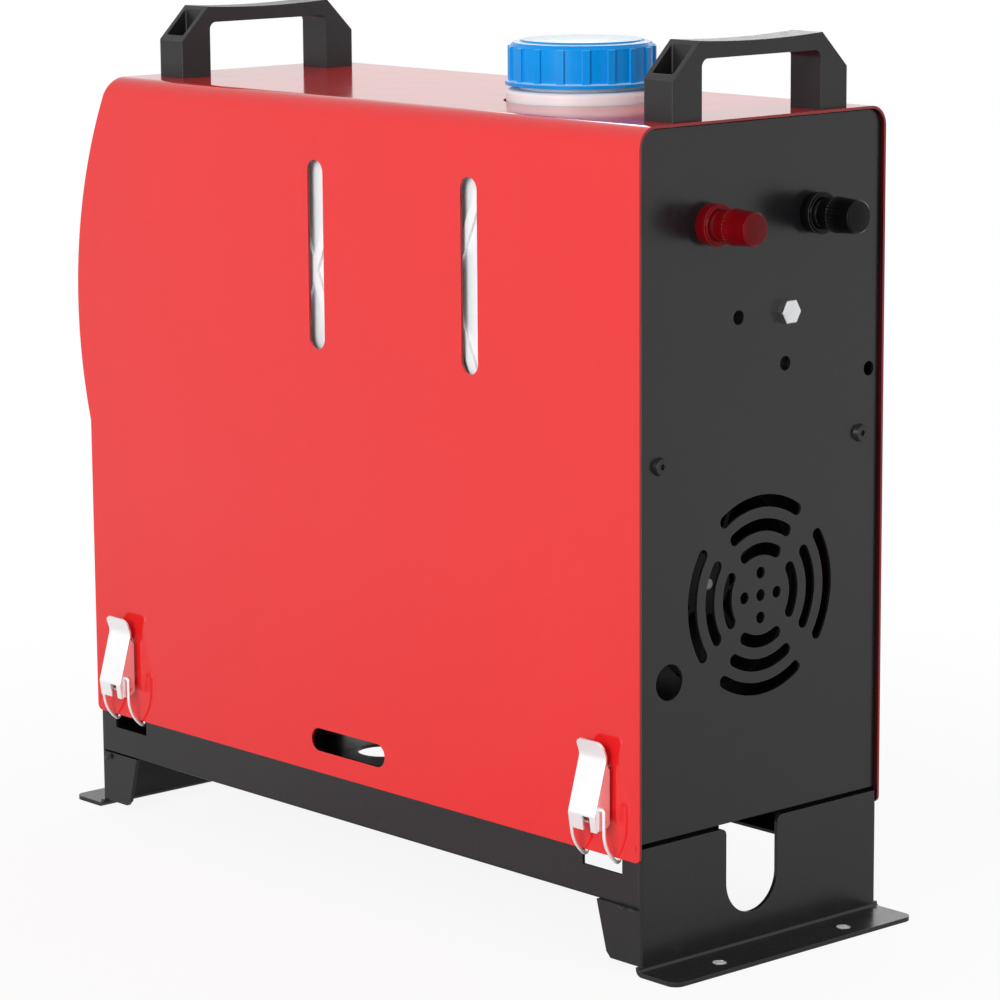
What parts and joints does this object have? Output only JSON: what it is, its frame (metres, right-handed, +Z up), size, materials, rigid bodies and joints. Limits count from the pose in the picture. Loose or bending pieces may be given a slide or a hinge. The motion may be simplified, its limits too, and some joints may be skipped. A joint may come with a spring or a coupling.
{
  "type": "diesel air heater",
  "caption": "Portable diesel air heater: a lift-off steel cover with handles and latches over a fuel tank, fan, burner and footed base.",
  "frame": {"origin": "on the floor, under the middle of the red cover and in the middle of the four foot bolts", "axes": "+X towards the intake grille and the battery terminals, -X towards the warm-air outlet and controls, +Z up"},
  "size_m": [0.4378, 0.1716, 0.3995],
  "materials": {
    "red_paint": "gloss red powder coat",
    "charcoal_paint": "satin charcoal powder coat",
    "black_screw": "black oxide",
    "zinc_steel": "zinc plated",
    "latch_steel": "bright plated pressed steel",
    "white_tank": "natural white blow-moulded polyethylene",
    "blue_cap": "bright blue moulded plastic",
    "black_rubber": "black rubber",
    "black_plastic": "fine textured black plastic",
    "cast_alloy": "as cast aluminium",
    "gasket_board": "pressed fibre gasket",
    "motor_steel": "plated steel",
    "pipe_steel": "stainless tube",
    "filter_shell": "translucent plastic",
    "red_terminal": "dark red gloss plastic",
    "black_terminal": "black gloss plastic",
    "display_glass": "dark glossy window",
    "key_rubber": "grey silicone keys"
  },
  "bodies": {
    "base": {"base_tray": "charcoal_paint", "rear_leg": "charcoal_paint", "front_leg": "charcoal_paint", "rear_panel": "charcoal_paint", "front_panel": "charcoal_paint", "socket_screws": "black_screw", "panel_screws": "zinc_steel", "tank_shelf": "zinc_steel", "fuel_tank": "white_tank", "jacket_upper": "black_plastic", "jacket_lower": "black_plastic", "heat_exchanger": "cast_alloy", "burner_gasket": "gasket_board", "burner_head": "cast_alloy", "fan_motor": "motor_steel", "control_unit": "black_plastic", "exhaust_pipe": "pipe_steel", "intake_pipe": "pipe_steel", "heater_stand": "zinc_steel", "fuel_pump": "motor_steel", "pump_mount": "black_rubber", "fuel_filter": "filter_shell", "terminal_collar_red": "red_terminal", "terminal_collar_black": "black_terminal", "terminal_studs": "zinc_steel", "earth_bolt": "zinc_steel", "hex_nuts": "zinc_steel", "control_bezel": "black_plastic", "display_lens": "display_glass", "outlet_collar": "black_plastic"},
    "cover_body": {"cover": "red_paint", "handle_front": "black_plastic", "handle_rear": "black_plastic", "handle_screws": "black_screw", "handle_nuts": "zinc_steel", "latch_plates": "zinc_steel", "latch_pins": "zinc_steel", "latch_rivets": "zinc_steel"},
    "lever_near_front": {"latch_lever_near_front": "latch_steel"},
    "bail_near_front": {"latch_bail_near_front": "latch_steel"},
    "lever_near_rear": {"latch_lever_near_rear": "latch_steel"},
    "bail_near_rear": {"latch_bail_near_rear": "latch_steel"},
    "lever_far_front": {"latch_lever_far_front": "latch_steel"},
    "bail_far_front": {"latch_bail_far_front": "latch_steel"},
    "lever_far_rear": {"latch_lever_far_rear": "latch_steel"},
    "bail_far_rear": {"latch_bail_far_rear": "latch_steel"},
    "cap_seal": {"cap_gasket": "black_rubber"},
    "cap": {"filler_cap": "blue_cap"},
    "washer_red": {"clamp_washer_red": "zinc_steel"},
    "knob_red": {"terminal_knob_red": "red_terminal"},
    "washer_black": {"clamp_washer_black": "zinc_steel"},
    "knob_black": {"terminal_knob_black": "black_terminal"},
    "rotor": {"motor_shaft": "motor_steel", "intake_fan": "black_plastic", "combustion_fan": "cast_alloy"},
    "up_key": {"button_up": "key_rubber"},
    "set_key": {"button_set": "key_rubber"},
    "down_key": {"button_down": "key_rubber"},
    "power_key": {"button_power": "key_rubber"},
    "louvre": {"outlet_louvre": "black_plastic"}
  },
  "joints": [
    {"name": "cover_lift", "type": "slide", "parent": "base", "child": "cover_body", "axis": [0, 0, 1], "range_m": [0, 0.36]},
    {"name": "latch_near_front", "type": "hinge", "parent": "cover_body", "child": "lever_near_front", "pos_m": [-0.17, -0.0798, 0.0665], "axis": [1, 0, 0], "range_deg": [0, 95]},
    {"name": "bail_near_front", "type": "hinge", "parent": "lever_near_front", "child": "bail_near_front", "pos_m": [-0.17, -0.082, 0.0725], "axis": [1, 0, 0], "range_deg": [-71.25, 0]},
    {"name": "latch_near_rear", "type": "hinge", "parent": "cover_body", "child": "lever_near_rear", "pos_m": [0.17, -0.0798, 0.0665], "axis": [1, 0, 0], "range_deg": [0, 95]},
    {"name": "bail_near_rear", "type": "hinge", "parent": "lever_near_rear", "child": "bail_near_rear", "pos_m": [0.17, -0.082, 0.0725], "axis": [1, 0, 0], "range_deg": [-71.25, 0]},
    {"name": "latch_far_front", "type": "hinge", "parent": "cover_body", "child": "lever_far_front", "pos_m": [-0.17, 0.0798, 0.0665], "axis": [-1, 0, 0], "range_deg": [0, 95]},
    {"name": "bail_far_front", "type": "hinge", "parent": "lever_far_front", "child": "bail_far_front", "pos_m": [-0.17, 0.082, 0.0725], "axis": [-1, 0, 0], "range_deg": [-71.25, 0]},
    {"name": "latch_far_rear", "type": "hinge", "parent": "cover_body", "child": "lever_far_rear", "pos_m": [0.17, 0.0798, 0.0665], "axis": [-1, 0, 0], "range_deg": [0, 95]},
    {"name": "bail_far_rear", "type": "hinge", "parent": "lever_far_rear", "child": "bail_far_rear", "pos_m": [0.17, 0.082, 0.0725], "axis": [-1, 0, 0], "range_deg": [-71.25, 0]},
    {"name": "cap_rise", "type": "slide", "parent": "base", "child": "cap_seal", "axis": [0, 0, 1], "range_m": [0, 0.015]},
    {"name": "cap_turn", "type": "hinge", "parent": "cap_seal", "child": "cap", "pos_m": [0.08, 0, 0.38], "axis": [0, 0, 1], "range_deg": [0, 900]},
    {"name": "washer_out_red", "type": "slide", "parent": "base", "child": "washer_red", "axis": [1, 0, 0], "range_m": [0, 0.005]},
    {"name": "knob_turn_red", "type": "hinge", "parent": "washer_red", "child": "knob_red", "pos_m": [0.2, -0.0315, 0.322], "axis": [1, 0, 0], "range_deg": [0, 1800]},
    {"name": "washer_out_black", "type": "slide", "parent": "base", "child": "washer_black", "axis": [1, 0, 0], "range_m": [0, 0.005]},
    {"name": "knob_turn_black", "type": "hinge", "parent": "washer_black", "child": "knob_black", "pos_m": [0.2, 0.0315, 0.322], "axis": [1, 0, 0], "range_deg": [0, 1800]},
    {"name": "fan_spin", "type": "hinge", "parent": "base", "child": "rotor", "pos_m": [0, 0, 0.157], "axis": [1, 0, 0], "continuous": true},
    {"name": "press_up", "type": "slide", "parent": "base", "child": "up_key", "axis": [1, 0, 0], "range_m": [0, 0.0008], "stiffness_N_per_m": 500, "springref_m": -0.0005},
    {"name": "press_set", "type": "slide", "parent": "base", "child": "set_key", "axis": [1, 0, 0], "range_m": [0, 0.0008], "stiffness_N_per_m": 500, "springref_m": -0.0005},
    {"name": "press_down", "type": "slide", "parent": "base", "child": "down_key", "axis": [1, 0, 0], "range_m": [0, 0.0008], "stiffness_N_per_m": 500, "springref_m": -0.0005},
    {"name": "press_power", "type": "slide", "parent": "base", "child": "power_key", "axis": [1, 0, 0], "range_m": [0, 0.0008], "stiffness_N_per_m": 500, "springref_m": -0.0005},
    {"name": "louvre_turn", "type": "hinge", "parent": "base", "child": "louvre", "pos_m": [0, 0, 0.157], "axis": [1, 0, 0], "continuous": true}
  ],
  "couplings": [
    {"joint": "bail_near_front", "follows": "latch_near_front", "ratio": -0.75},
    {"joint": "bail_near_rear", "follows": "latch_near_rear", "ratio": -0.75},
    {"joint": "bail_far_front", "follows": "latch_far_front", "ratio": -0.75},
    {"joint": "bail_far_rear", "follows": "latch_far_rear", "ratio": -0.75},
    {"joint": "cap_rise", "follows": "cap_turn", "m_per_rad": 0.00095493},
    {"joint": "washer_out_red", "follows": "knob_turn_red", "m_per_rad": 0.00015915},
    {"joint": "washer_out_black", "follows": "knob_turn_black", "m_per_rad": 0.00015915}
  ]
}
